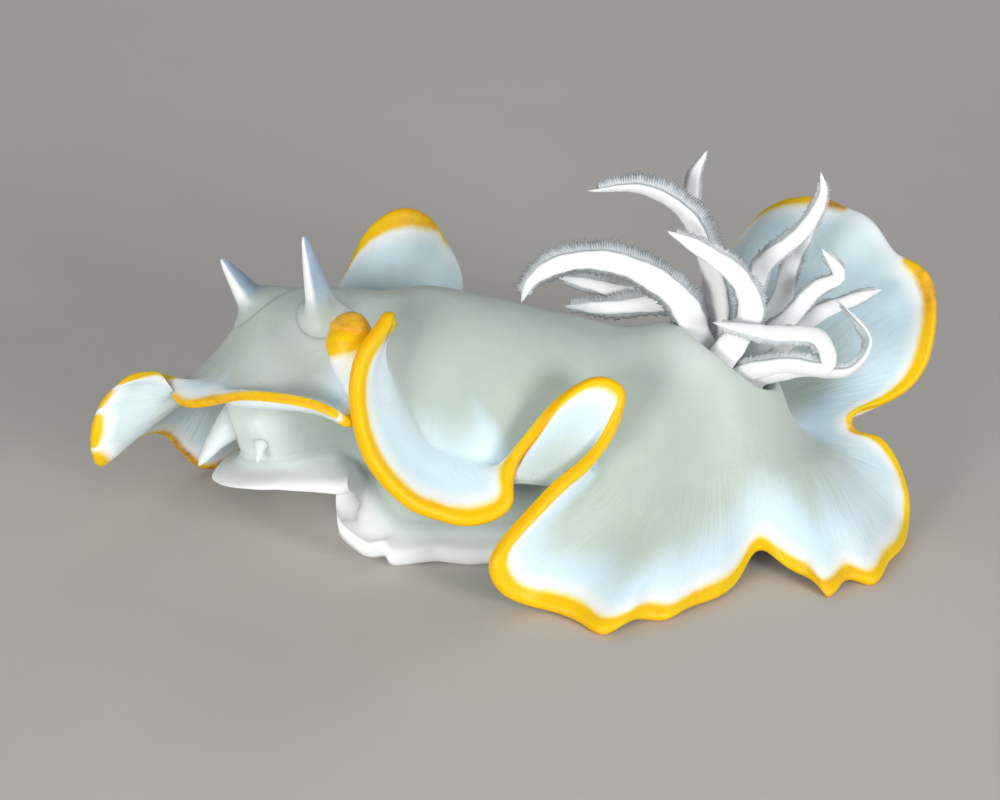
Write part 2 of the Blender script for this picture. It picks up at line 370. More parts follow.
def mantle_with_normal(t):
    t = np.broadcast_to(t, (AROUND,)).astype(float)
    here = mantle(t)
    step = 0.01
    out = (mantle(t + step) - here) if t.min() < 0.98 else (here - mantle(t - step))
    along = np.roll(here, -2, axis=0) - np.roll(here, 2, axis=0)
    normal = unit(np.cross(out, along))
    return here, normal, out


def through(points, share):
    """Points at these shares (0 to 1) along a smooth line through the given ones."""
    p = np.array(points, float)
    p = np.concatenate([[2 * p[0] - p[1]], p, [2 * p[-1] - p[-2]]])
    knots = np.concatenate([[0], np.cumsum(np.sqrt(np.linalg.norm(np.diff(p, axis=0), axis=1)))])
    rows = []
    for i in range(1, len(p) - 2):
        t0, t1, t2, t3 = knots[i - 1:i + 3]
        m1 = (p[i] - p[i - 1]) / (t1 - t0) - (p[i + 1] - p[i - 1]) / (t2 - t0) + (p[i + 1] - p[i]) / (t2 - t1)
        m2 = (p[i + 1] - p[i]) / (t2 - t1) - (p[i + 2] - p[i]) / (t3 - t1) + (p[i + 2] - p[i + 1]) / (t3 - t2)
        u = np.linspace(0, 1, 16, endpoint=False)[:, None]
        rows.append((2 * u ** 3 - 3 * u ** 2 + 1) * p[i] + (u ** 3 - 2 * u ** 2 + u) * m1 * (t2 - t1)
                    + (3 * u ** 2 - 2 * u ** 3) * p[i + 1] + (u ** 3 - u ** 2) * m2 * (t2 - t1))
    rows.append(p[-2:-1])
    line = np.concatenate(rows)
    length = np.concatenate([[0], np.cumsum(np.linalg.norm(np.diff(line, axis=0), axis=1))])
    at = np.asarray(share) * length[-1]
    return np.stack([np.interp(at, length, line[:, k]) for k in range(3)], -1), length[-1]


# ---------------------------------------------------------------- the fine skin
def thickness(t):
    return THICK_EDGE + (THICK_ROOT - THICK_EDGE) * (1 - t) ** 1.5


def collar_rise(xm, w):
    """How far the back's skin is raised over its own line round the gills: a soft rim with a pocket inside."""
    x, y = xm - GILL_CENTRE[0], -w - GILL_CENTRE[1]
    middle = [(a + b) / 2 for a, b in zip(COLLAR_IN, COLLAR_OUT)]
    far = np.hypot(x / middle[0], y / middle[1])
    turn = np.degrees(np.arctan2(y / middle[1], x / middle[0])) % 360.0
    high = eased(turn, around(COLLAR_HIGH), 12.0) + 0.5
    soft = 0.42 - 0.24 * smooth(np.cos(np.radians(turn)))  # a gentle slope in front, a steep one behind
    outside = np.exp(-np.maximum(far - 1.0, 0.0) ** 2 / (2 * soft ** 2))
    inside = smooth((far - 0.72) / 0.24)
    return high * np.where(far > 1, outside, inside) - POCKET_DEEP * (1 - smooth((far - 0.66) / 0.30))


def feeler_rise(xm, w):
    """The low mounds of skin from which the rhinophores rise."""
    rise, wide = FEELER_MOUND
    return sum(rise * np.exp(-((xm - x) ** 2 + (w - side) ** 2) / (2 * wide ** 2)) for x, side in RHINO_BASES.values())


def cheek_rise(theta, u):
    """The soft bulge of the face on each side of the mouth, over the flank's own line."""
    out = np.zeros(np.shape(theta))
    for turn, wide, down, tall, rise in CHEEKS:
        a = (np.degrees(theta) - turn + 180.0) % 360.0 - 180.0
        out = out + rise * np.exp(-(a / wide) ** 2 - ((u - down) / tall) ** 2)
    return out


def foot_shift(theta):
    """How the foot's soft margin is pushed out of its plain oval, round the foot: x, y, z."""
    a = np.degrees(theta) % 360.0
    return np.stack([eased(a, around([(row[0], row[k]) for row in FRILL]), FRILL_EASE) for k in (1, 2, 3)], -1)


def skin():
    """Rings of points from the ridge of the back, out over the mantle, round its edge, back under it and down to the sole.

    Each ring is (points, kind, place): kind says which surface it lies on, and place how far along that surface."""
    level_turn = np.arange(AROUND) * 2 * np.pi / AROUND  # even and the same on both sides, so that ridge and sole close
    rings = []

    def turned(share):
        """Turns that go over from the even ones (share 0) to those of the mantle's root (share 1)."""
        return level_turn + share * (EDGE_THETA - level_turn)

    for q in np.linspace(0, 1, BACK_STEPS + 1)[:-1]:
        theta = turned(float(smooth(q / 0.94)))
        xm, w = plan(theta, q)
        low = eased(np.degrees(theta) % 360.0, around(SHOULDER), 9.0)
        h = low + (eased(xm, CREST, 3.0) - low) * (1.0 - q ** BACK_ROUND)
        rings.append((body(xm, w, h + collar_rise(xm, w) + feeler_rise(xm, w)), "back", q))

    xm, w = plan(EDGE_THETA, 1.0)
    lift = (body(xm, w, 1.0) - body(xm, w, 0.0)) * collar_rise(xm, w)[:, None]
    rings.append((ROOT + lift, "back", 1.0))

    for i in range(1, MANTLE_STEPS + 1):
        t = 1 - (1 - i / MANTLE_STEPS) ** 1.45
        here, normal, out = mantle_with_normal(t)
        rings.append((here + lift * (1 - t) ** 2, "top", t))
    normal = unit(softened(normal, 0.8, EDGE_TOTAL))
    out = unit(out - normal * (out * normal).sum(-1, keepdims=True))
    thin = edge_thickness()[:, None]
    middle = here - normal * thin / 2
    for i in range(1, RIM_STEPS):
        a = math.pi * i / RIM_STEPS
        rings.append((middle + thin / 2 * (math.cos(a) * normal + RIM_FULL * math.sin(a) * out), "rim", i / RIM_STEPS))

    slim = eased(np.degrees(EDGE_THETA) % 360.0, around(SLIM), 0.6)[:, None]
    for i in range(UNDER_STEPS + 1):
        t = 1 - (i / UNDER_STEPS) ** 1.5 * 0.985
        here, normal, _ = mantle_with_normal(t)
        normal = unit(softened(normal, 0.8 + 1.2 * (1 - t), EDGE_TOTAL))
        thick = (thickness(t) + (thin - THICK_EDGE) * t * t) * (1 - (1 - slim) * smooth(3 * t) * smooth(3 * (1 - t)))
        rings.append((here - normal * thick, "under", t))

    for i in range(1, FLANK_STEPS + 1):
        u = i / FLANK_STEPS
        theta = turned(1.0 - float(smooth(u)))
        here, _ = flank(theta, u)
        rings.append((here, "flank", u))

    shift = foot_shift(level_turn)
    lip = eased(np.degrees(level_turn) % 360.0, around(LIP), 5.0)
    for i, (k, h) in enumerate(FOOT_CURVE):
        xm, w = foot_plan(level_turn, k)
        h = h + lip * (1 - smooth(h / 2.3))
        spread = smooth((k - 0.85) / 0.12) if i < FOOT_WIDEST else 0.25 + 0.75 * smooth((k - 0.90) / 0.08)
        rings.append((body(xm, w, h) + shift * spread, "foot", i / (len(FOOT_CURVE) - 1)))
    for k in (0.82, 0.6, 0.35, 0.15, 0.0):
        xm, w = foot_plan(level_turn, max(k, 0.5))
        rings.append((body(xm, w * (k > 0) * (k / max(k, 0.5)), lip * k) + shift * 0.25 * k ** 2, "sole", 1 - k))
    for ring, _, _ in rings:  # what would hang below the sole's level lies flat on it
        ring[:, 2] = np.maximum(ring[:, 2], 0.0)
    return rings


def edge_thickness():
    """The thickness of the mantle's rim all round: fuller in the plain lobes, finer in the fans."""
    return eased(np.degrees(EDGE_THETA) % 360.0, around(RIM_THICK), 3.0)


def flank(theta, u):
    """The body's side between the mantle's underside and the foot, at share u of the way down, and its outward way."""
    n = len(theta)
    root = back(theta, np.ones(n))
    way = unit(root - back(theta, np.full(n, 0.985)))
    level = back(theta + 0.02, np.ones(n)) - back(theta - 0.02, np.ones(n))
    under = root - unit(np.cross(way, level)) * THICK_ROOT
    xm, w = foot_plan(theta, FOOT_IN)
    low = body(xm, w, np.full(n, FOOT_TOP))
    span = np.linalg.norm(low - under, axis=1, keepdims=True)
    down = unit(body(xm, w * 0.97, np.full(n, FOOT_TOP - 1)) - low)

    def at(v):
        return ((2 * v ** 3 - 3 * v ** 2 + 1) * under - (v ** 3 - 2 * v ** 2 + v) * way * span * 0.9
                + (3 * v ** 2 - 2 * v ** 3) * low + (v ** 3 - v ** 2) * down * span * 0.8)

    here = at(u)
    slope = at(min(u + 0.02, 1.0)) - at(max(u - 0.02, 0.0))
    normal = unit(np.cross(level, slope))
    outward = here - body(np.full(n, MID), np.zeros(n), np.full(n, 8.0))
    normal = normal * np.sign((normal * outward).sum(-1, keepdims=True))
    return here + normal * cheek_rise(theta, u)[:, None], normal


def foot_plan(theta, k):
    return FOOT_MID - FOOT_HALF * k * power(np.cos(theta), BLUNT), FOOT_WIDE * k * power(np.sin(theta), BLUNT)


# ---------------------------------------------------------------- making pieces
def new_piece(name, points, faces, uv=None, values=None, look=None, replaces=()):
    """A smooth mesh piece on the body: points in millimetres, faces as index rows (-1 pads a triangle)."""
    mesh = bpy.data.meshes.new(name)
    points = np.asarray(points, float)
    faces = np.asarray(faces)
    counts = (faces >= 0).sum(1)
    mesh.vertices.add(len(points))
    mesh.vertices.foreach_set("co", (points * SCALE).astype(np.float32).ravel())
    loops = faces[faces >= 0]
    mesh.loops.add(len(loops))
    mesh.loops.foreach_set("vertex_index", loops.astype(np.int32))
    mesh.polygons.add(len(faces))
    mesh.polygons.foreach_set("loop_start", np.concatenate([[0], np.cumsum(counts)[:-1]]).astype(np.int32))
    mesh.polygons.foreach_set("use_smooth", np.ones(len(faces), bool))
    if uv is not None:
        layer = mesh.uv_layers.new(name="OFBake")
        layer.data.foreach_set("uv", np.asarray(uv, np.float32).ravel())
    for key, data in (values or {}).items():
        data = np.asarray(data, np.float32)
        kind = "FLOAT_VECTOR" if data.ndim == 2 else "FLOAT"
        made = mesh.attributes.new(key, kind, "POINT")
        made.data.foreach_set("vector" if data.ndim == 2 else "value", data.ravel())
    mesh.update(calc_edges=True)
    mesh.validate()
    obj = bpy.data.objects.new(name, mesh)
    bpy.context.scene.collection.objects.link(obj)
    if look is not None:
        mesh.materials.append(look)
    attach(obj, "root")
    if replaces:
        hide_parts(*replaces)
    return obj


# ---------------------------------------------------------------- materials
def nodes_of(name):
    made = bpy.data.materials.new(name)
    made.use_nodes = True
    tree = made.node_tree
    return made, tree, tree.nodes["Principled BSDF"]


class Graph:
    """Short ways to put shader nodes together."""

    def __init__(self, tree):
        self.tree = tree

    def node(self, kind, **settings):
        made = self.tree.nodes.new(kind)
        for key, value in settings.items():
            setattr(made, key, value)
        return made

    def link(self, a, b):
        self.tree.links.new(a, b)

    def set(self, socket, value):
        if isinstance(value, bpy.types.NodeSocket):
            self.link(value, socket)
        else:
            socket.default_value = value

    def value(self, name):
        return self.node("ShaderNodeAttribute", attribute_name=name).outputs["Fac"]

    def vector(self, name):
        return self.node("ShaderNodeAttribute", attribute_name=name).outputs["Vector"]

    def math(self, operation, a, b=0.0, c=None, clamp=False):
        made = self.node("ShaderNodeMath", operation=operation, use_clamp=clamp)
        self.set(made.inputs[0], a)
        self.set(made.inputs[1], b)
        if c is not None:
            self.set(made.inputs[2], c)
        return made.outputs[0]

    def step(self, x, low, high):
        """0 below low, 1 above high, smooth between."""
        made = self.node("ShaderNodeMapRange", interpolation_type="SMOOTHSTEP")
        self.set(made.inputs["Value"], x)
        self.set(made.inputs["From Min"], low)
        self.set(made.inputs["From Max"], high)
        return made.outputs["Result"]

    def mix(self, share, a, b):
        made = self.node("ShaderNodeMix", data_type="RGBA")
        self.set(made.inputs[0], share)
        self.set(made.inputs[6], a)
        self.set(made.inputs[7], b)
        return made.outputs[2]

    def noise(self, where, scale, detail=2.0, roughness=0.5, distortion=0.0):
        made = self.node("ShaderNodeTexNoise")
        self.set(made.inputs["Vector"], where)
        made.inputs["Scale"].default_value = scale
        made.inputs["Detail"].default_value = detail
        made.inputs["Roughness"].default_value = roughness
        made.inputs["Distortion"].default_value = distortion
        return made.outputs["Fac"]

    def bump(self, height, distance, strength=1.0, normal=None):
        made = self.node("ShaderNodeBump")
        made.inputs["Strength"].default_value = strength
        made.inputs["Distance"].default_value = distance
        self.set(made.inputs["Height"], height)
        if normal is not None:
            self.link(normal, made.inputs["Normal"])
        return made.outputs["Normal"]


def srgb(r, g, b):
    return tuple(c / 255 / 12.92 if c / 255 <= 0.04045 else ((c / 255 + 0.055) / 1.055) ** 2.4 for c in (r, g, b)) + (1.0,)


def soft_flesh(shader, weight=0.75, size=0.0016, colour=(1.0, 0.95, 0.85)):
    """Settings that are the same all over: light sinks in and spreads a little, with a wet surface."""
    shader.inputs["Subsurface Weight"].default_value = weight
    shader.inputs["Subsurface Scale"].default_value = size
    shader.inputs["Subsurface Radius"].default_value = colour
    shader.inputs["Subsurface Anisotropy"].default_value = 0.3
    shader.inputs["IOR"].default_value = 1.36
    shader.inputs["Specular IOR Level"].default_value = 0.35
    shader.inputs["Roughness"].default_value = 0.38


def skin_material():
    made, tree, shader = nodes_of("slug_skin")
    g = Graph(tree)
    place = g.node("ShaderNodeTexCoord").outputs["Object"]
    rim, wide, gold = g.value("rim"), g.value("wide"), g.value("gold")
    deep, white, worn = g.value("deep"), g.value("white"), g.value("worn")
    flow = g.vector("flow")

    blotch = g.noise(place, 90.0, 3.0, 0.55)
    fine = g.noise(place, 420.0, 3.0, 0.6)
    grain = g.noise(place, 1500.0, 2.0, 0.6)

    # the body's own tone: milky grey green in the middle, bluish white towards the mantle's margin
    body_tone = g.mix(g.step(blotch, 0.3, 0.7), srgb(*DEEP_TONE), srgb(*DEEP_TONE_2))
    margin_tone = g.mix(g.step(blotch, 0.3, 0.7), srgb(*MARGIN_TONE), srgb(*MARGIN_TONE_2))
    tone = g.mix(g.math("ADD", deep, g.math("MULTIPLY", g.math("SUBTRACT", fine, 0.5), 0.10), clamp=True), margin_tone, body_tone)
    tone = g.mix(g.math("MULTIPLY", white, 1.0, clamp=True), tone, srgb(*WHITE_TONE))

    # the band: its inner side fades over into a line of opaque white
    wander = g.math("MULTIPLY", g.math("SUBTRACT", g.noise(place, 260.0, 3.0, 0.6), 0.5), 0.75)
    wander = g.math("ADD", wander, g.math("MULTIPLY", g.math("SUBTRACT", grain, 0.5), 0.22))
    inside = g.math("ADD", g.math("SUBTRACT", wide, rim), wander)
    pale = g.math("MULTIPLY", g.step(inside, -2.6, -0.2), g.math("MINIMUM", g.math("MULTIPLY", wide, 0.8), 1.0))
    tone = g.mix(g.math("MULTIPLY", pale, 0.85), tone, srgb(*WHITE_TONE))
    share = g.math("DIVIDE", rim, g.math("MAXIMUM", wide, 0.2))
    ramp = g.node("ShaderNodeValToRGB")
    ramp.color_ramp.interpolation = "EASE"
    stops = ramp.color_ramp.elements
    stops[0].position, stops[0].color = 0.0, srgb(*BAND_RIM)
    stops[1].position, stops[1].color = 1.0, srgb(*BAND_INNER)
    for at, colour in ((0.16, BAND_OUT), (0.45, BAND_MID), (0.78, BAND_MID)):
        stop = stops.new(at)
        stop.color = srgb(*colour)
    g.link(share, ramp.inputs["Fac"])
    band = g.mix(g.math("MULTIPLY", g.step(g.noise(place, 330.0, 2.0, 0.5), 0.42, 0.66), 0.35), ramp.outputs["Color"], srgb(*BAND_OUT))
    brown = g.mix(g.step(g.noise(place, 700.0, 3.0, 0.65), 0.4, 0.62), srgb(*WORN_LIGHT), srgb(*WORN_DARK))
    band = g.mix(g.math("MULTIPLY", worn, g.step(g.noise(place, 380.0, 3.0, 0.6), 0.32, 0.6)), band, brown)
    g_in = g.math("MULTIPLY", g.step(inside, -0.70, 0.50), g.step(g.math("ADD", gold, g.math("MULTIPLY", wander, 0.35)), 0.28, 0.62))
    tone = g.mix(g_in, tone, band)
    g.link(tone, shader.inputs["Base Color"])

    # relief: the faintest pores, and fine wrinkles that run out from the trunk
    wrinkle = g.noise(flow, 0.62, 3.0, 0.6, 0.4)
    folds = g.math("MULTIPLY", g.math("SUBTRACT", wrinkle, 0.5), g.value("wrinkle"))
    normal = g.bump(folds, 0.0011)
    normal = g.bump(g.math("ADD", g.math("MULTIPLY", fine, 0.6), g.math("MULTIPLY", grain, 0.25)), 0.00016, 1.0, normal)
    g.link(normal, shader.inputs["Normal"])
    rough = g.math("ADD", 0.34, g.math("MULTIPLY", fine, 0.14))
    g.link(rough, shader.inputs["Roughness"])
    soft_flesh(shader)
    return made


def feeler_material():
    """The feelers: bright white along the front edge, bluish and half clear behind, with a few faint specks."""
    made, tree, shader = nodes_of("slug_feeler")
    g = Graph(tree)
    place = g.node("ShaderNodeTexCoord").outputs["Object"]
    front, up = g.value("front"), g.value("up")
    blotch = g.noise(place, 90.0, 3.0, 0.55)
    fine = g.noise(place, 420.0, 3.0, 0.6)
    root = g.mix(g.step(blotch, 0.3, 0.7), srgb(*DEEP_TONE), srgb(*DEEP_TONE_2))
    clear = g.mix(g.step(fine, 0.35, 0.65), srgb(*FEELER_CLEAR), srgb(*FEELER_CLEAR_2))
    root = g.mix(g.value("white"), root, srgb(*WHITE_TONE))
    tone = g.mix(g.step(up, 0.08, 0.45), root, clear)
    tone = g.mix(g.math("MULTIPLY", g.step(front, 0.78, 0.98), g.step(up, 0.10, 0.4)), tone, srgb(*WHITE_TONE))
    specks = g.math("MULTIPLY", g.step(g.noise(place, 1100.0, 1.0, 0.5), 0.66, 0.74), g.math("MULTIPLY", g.step(up, 0.35, 0.7), 0.35))
    tone = g.mix(specks, tone, srgb(150, 152, 150))
    g.link(tone, shader.inputs["Base Color"])
    g.link(g.bump(fine, 0.00012), shader.inputs["Normal"])
    soft_flesh(shader, 0.7, 0.0012)
    return made


def gill_material():
    """Gills: opaque white on the outer face of each stalk, greyer towards its leaflets, which are half clear."""
    made, tree, shader = nodes_of("slug_gill")
    g = Graph(tree)
    place = g.node("ShaderNodeTexCoord").outputs["Object"]
    outer, leaf = g.value("outer"), g.value("leaf")
    fine = g.noise(place, 500.0, 3.0, 0.6)
    dots = g.noise(place, 1900.0, 2.0, 0.55)
    flank_tone = g.mix(g.step(fine, 0.35, 0.65), srgb(*GILL_SIDE), srgb(*GILL_SIDE_2))
    tone = g.mix(g.step(g.math("ADD", outer, g.math("MULTIPLY", g.math("SUBTRACT", fine, 0.5), 0.25)), 0.36, 0.62), flank_tone, srgb(*GILL_FACE))
    leaf_tone = g.mix(g.step(g.math("ADD", leaf, g.math("MULTIPLY", g.math("SUBTRACT", dots, 0.5), 0.5)), 0.1, 1.0), srgb(*LEAF_ROOT), srgb(*LEAF_TIP))
    tone = g.mix(g.step(leaf, 0.0, 0.04), tone, leaf_tone)
    g.link(tone, shader.inputs["Base Color"])
    g.link(g.bump(g.math("ADD", fine, g.math("MULTIPLY", dots, 0.4)), 0.00012), shader.inputs["Normal"])
    soft_flesh(shader, 0.5, 0.0008)
    return made


def plain_material():
    """For the solids that the skin covers: they aren't seen."""
    made, tree, shader = nodes_of("slug_core")
    g = Graph(tree)
    place = g.node("ShaderNodeTexCoord").outputs["Object"]
    g.link(g.mix(g.noise(place, 120.0), srgb(*DEEP_TONE), srgb(*MARGIN_TONE)), shader.inputs["Base Color"])
    return made


# ---------------------------------------------------------------- the skin piece
def grid_faces(count, rings, first=0):
    i = np.arange(rings - 1)[:, None] * count
    j = np.arange(count)[None, :]
    k = (j + 1) % count
    return (first + np.stack([i + j, i + count + j, i + count + k, i + k], -1)).reshape(-1, 4)


def paler(points):
    """How much paler the skin is at these points."""
    return sum(strength * np.exp(-((points - np.array(middle)) ** 2).sum(-1) / (2 * wide ** 2)) for *middle, wide, strength in PALE)


def build_skin(look):
    rings = skin()
    points = np.stack([r[0] for r in rings])  # ring, column, xyz
    kinds = [r[1] for r in rings]
    count, n = points.shape[:2]
    rim_ring = kinds.index("rim") + (RIM_STEPS - 1) // 2
    step = np.linalg.norm(np.diff(points, axis=0), axis=2)
    along = np.concatenate([np.zeros((1, n)), np.cumsum(step, axis=0)])
    rim = np.abs(along - along[rim_ring])
    kind = np.array(kinds)[:, None]
    angle = np.degrees(EDGE_THETA) % 360.0
    top = np.isin(kind, ("back", "top"))
    upper_wide, lower_wide, gold, worn = (eased(angle, around([(r[0], r[k]) for r in BAND]), BAND_EASE) for k in (1, 2, 3, 4))
    over = np.clip((np.arange(count) - rim_ring + 4) / 8.0, 0, 1)[:, None]
    wide = upper_wide * (1 - over) + lower_wide * over
    wide = np.broadcast_to(wide, (count, n)).copy()
    notch = np.zeros(n)
    fade_from, fade_to = (eased(angle, around([(r[0], r[k]) for r in MARGIN]), 2.0) for k in (1, 2))
    share = np.where(top, np.clip(1 - (rim - fade_from) / (fade_to - fade_from), 0, 1), 0)
    deep = np.where(top, 1 - smooth(share), 0.0)
    deep = np.where(kind == "under", smooth((rim - 2.5) / 9.0) * 0.8, deep)
    deep = np.where(kind == "flank", 0.9, deep)
    white = np.zeros((count, n))
    u = np.array([r[2] for r in rings])[:, None]
    face = np.exp(-((angle + 4.0 + 180.0) % 360.0 - 180.0) ** 2 / (2 * 22.0 ** 2))[None]
    white = np.where(kind == "flank", face * (0.2 + 0.3 * u), white)
    white = np.where(np.isin(kind, ("foot", "sole")), np.where(kind == "foot", 0.3 + 0.7 * smooth(u * 6), 1.0), white)
    deep = np.where(kind == "foot", 0.85 * (1 - smooth(u * 5)), deep)
    flap = smooth((angle - 318.0) / 6.0) * smooth((350.0 - angle) / 3.0)
    deep = np.where(kind == "under", np.maximum(deep, 0.5 * flap), deep)
    bare = np.where(kind == "flank", 0, np.isin(kind, ("back", "top")))  # the paler middle of the head
    white = np.maximum(white, bare * paler(points))
    at = 2 * np.pi * np.arange(n) / n
    r0 = EDGE_TOTAL / (2 * np.pi)
    signed = along - along[rim_ring]
    flow = np.stack([np.broadcast_to(r0 * np.cos(at), (count, n)), np.broadcast_to(r0 * np.sin(at), (count, n)), signed * 0.12], -1)
    wrinkle = np.where(kind == "top", smooth((rim - 3.0) / 3.0) * smooth((u - 0.0) / 0.3), 0.0) * 0.16
    wrinkle = np.where(kind == "back", smooth((u - 0.72) / 0.28) * 0.08, wrinkle)
    wrinkle = np.where(kind == "under", smooth((rim - 2.0) / 3.0) * 0.2, wrinkle)
    wrinkle = np.where(kind == "flank", 0.05, wrinkle)

    # the ridge and the sole's middle close on themselves: columns j and n - j share a point
    index = np.arange(count * n).reshape(count, n)
    twin = np.minimum(np.arange(n), (n - np.arange(n)) % n)
    index[0] = twin
    index[-1] = (count - 1) * n + twin
    j, k = np.arange(n), (np.arange(n) + 1) % n
    faces = np.stack([index[:-1][:, j], index[1:][:, j], index[1:][:, k], index[:-1][:, k]], -1).reshape(-1, 4)
    height = np.concatenate([[0], np.cumsum(step.mean(1))])
    v = height / height[-1]
    uu = np.stack([j / n, j / n, (j + 1) / n, (j + 1) / n], -1)  # per face corner
    uv = np.empty((count - 1, n, 4, 2))
    uv[..., 0] = uu[None]
    uv[..., 0, 1] = uv[..., 3, 1] = v[:-1][:, None]
    uv[..., 1, 1] = uv[..., 2, 1] = v[1:][:, None]

    used = np.unique(faces)
    renumber = np.full(count * n, -1)
    renumber[used] = np.arange(len(used))
    flat = lambda a: np.broadcast_to(a, (count, n)).reshape(-1)[used]
    values = {"rim": flat(rim), "wide": flat(wide), "gold": flat(gold), "worn": flat(worn), "deep": flat(deep),
              "white": flat(white), "wrinkle": flat(wrinkle), "flow": flow.reshape(-1, 3)[used]}
    flesh = [name for name in NODES if name.split("_")[0] in
             ("head", "neck", "trunk", "tail", "foot", "mantle") or name.startswith(("gill_collar", "rhinophore_sheath"))]
    flesh.remove("mantle_left_pleat")
    return new_piece("skin", points.reshape(-1, 3)[used], renumber[faces], uv.reshape(-1, 2), values, look, flesh)


# ---------------------------------------------------------------- feelers
def rhinophore(side, look):
    """A pointed feeler whose root flares out into the skin of the head, with fine leaves across its back."""
    xm, w = RHINO_BASES[side]
    foot = on_back(xm, w)
    normal = unit(np.cross(on_back(xm - 0.5, w) - on_back(xm + 0.5, w), on_back(xm, w - 0.5) - on_back(xm, w + 0.5)))
    normal = normal if normal[2] > 0 else -normal
    tip = np.array(RHINO_TIPS[side])
    lean = (foot + tip) / 2 + normal * 0.8
    length = np.linalg.norm(tip - foot)
    sides, rows = 40, 96
    turn = np.linspace(0, 2 * np.pi, sides, endpoint=False)
    u = np.linspace(0, 1, rows) ** 1.25
    line = (1 - u)[:, None] ** 2 * foot + 2 * (u * (1 - u))[:, None] * lean + u[:, None] ** 2 * tip
    along = unit(np.gradient(line, axis=0))
    ahead = unit(body(xm - 1, w, 0) - body(xm + 1, w, 0))  # towards the head's front
    fore = unit(ahead - along * (along @ ahead)[:, None])
    across = np.cross(along, fore)  # towards the animal's left
    radius = RHINO_BASE * (1 - u) ** 0.72 * (1 - 0.12 * u) + 0.16 * np.sqrt(np.clip((1 - u) / 0.03, 0, 1)) * u
    flare = 1.5 * np.exp(-u * length / 0.8)
    rear = 0.5 - 0.5 * np.cos(turn)  # 0 in front, 1 behind
    leaves = 0.5 - 0.5 * np.cos(2 * np.pi * u * length / 0.42)
    ridge = 0.07 * smooth((u - 0.22) / 0.15) * smooth((1 - u) / 0.12)
    points = []
    for i in range(rows):
        r = radius[i] * (1 + 0.22 * rear * (1 - u[i])) + flare[i] * (0.75 + 0.55 * rear) + leaves[i] * ridge[i] * smooth((rear - 0.3) / 0.5)
        ring = line[i] + (np.cos(turn) * r)[:, None] * fore[i] + (np.sin(turn) * r * 0.92)[:, None] * across[i]
        high = u[i] * length
        if high < 2.2:
            share = float(smooth(high / 2.2))
            low = np.array([on_back(x, z, high ** 2 / (high + 0.7) - 0.05 + float(feeler_rise(x, z)))
                            for x, z in zip(xm - r * np.cos(turn), w + r * np.sin(turn))])
            ring = low * (1 - share) + ring * share
        points.append(ring)
    points = np.concatenate(points + [tip[None] + along[-1] * 0.1])
    faces = grid_faces(sides, rows)
    j = np.arange(sides)
    cap = np.stack([(rows - 1) * sides + j, np.full(sides, rows * sides), (rows - 1) * sides + (j + 1) % sides, np.full(sides, -1)], -1)
    v, uu = u, j / sides
    uv = np.empty((rows - 1, sides, 4, 2))
    uv[..., 0] = np.stack([uu, uu, uu + 1 / sides, uu + 1 / sides], -1)[None]
    uv[..., 0, 1] = uv[..., 3, 1] = v[:-1][:, None]
    uv[..., 1, 1] = uv[..., 2, 1] = v[1:][:, None]
    cap_uv = np.stack([np.stack([uu, np.full(sides, 0.999)], -1), np.stack([uu + 0.5 / sides, np.ones(sides)], -1),
                       np.stack([uu + 1 / sides, np.full(sides, 0.999)], -1)], 1)
    front = np.concatenate([np.tile(1 - rear, rows), [1.0]])
    up = np.concatenate([np.repeat(u, sides), [1.0]])
    return new_piece(f"rhinophore_leaves_{side}", points, np.concatenate([faces, cap]), np.concatenate([uv.reshape(-1, 2), cap_uv.reshape(-1, 2)]),
                     {"front": front, "up": up, "white": paler(points)}, look, [f"rhinophore_{side}"])


def cone_uv(sides, rows):
    """The map of a closed tube with a pointed end: its own strip, and thin triangles for the end."""
    uu, v = np.arange(sides) / sides, np.linspace(0, 1, rows)
    uv = np.empty((rows - 1, sides, 4, 2))
    uv[..., 0] = np.stack([uu, uu, uu + 1 / sides, uu + 1 / sides], -1)[None]
    uv[..., 0, 1] = uv[..., 3, 1] = v[:-1][:, None]
    uv[..., 1, 1] = uv[..., 2, 1] = v[1:][:, None]
    cap = np.stack([np.stack([uu, np.full(sides, 0.999)], -1), np.stack([uu + 0.5 / sides, np.ones(sides)], -1),
                    np.stack([uu + 1 / sides, np.full(sides, 0.999)], -1)], 1)
    return np.concatenate([uv.reshape(-1, 2), cap.reshape(-1, 2)])


def cone_faces(sides, rows):
    j = np.arange(sides)
    cap = np.stack([(rows - 1) * sides + j, np.full(sides, rows * sides), (rows - 1) * sides + (j + 1) % sides, np.full(sides, -1)], -1)
    return np.concatenate([grid_faces(sides, rows), cap])


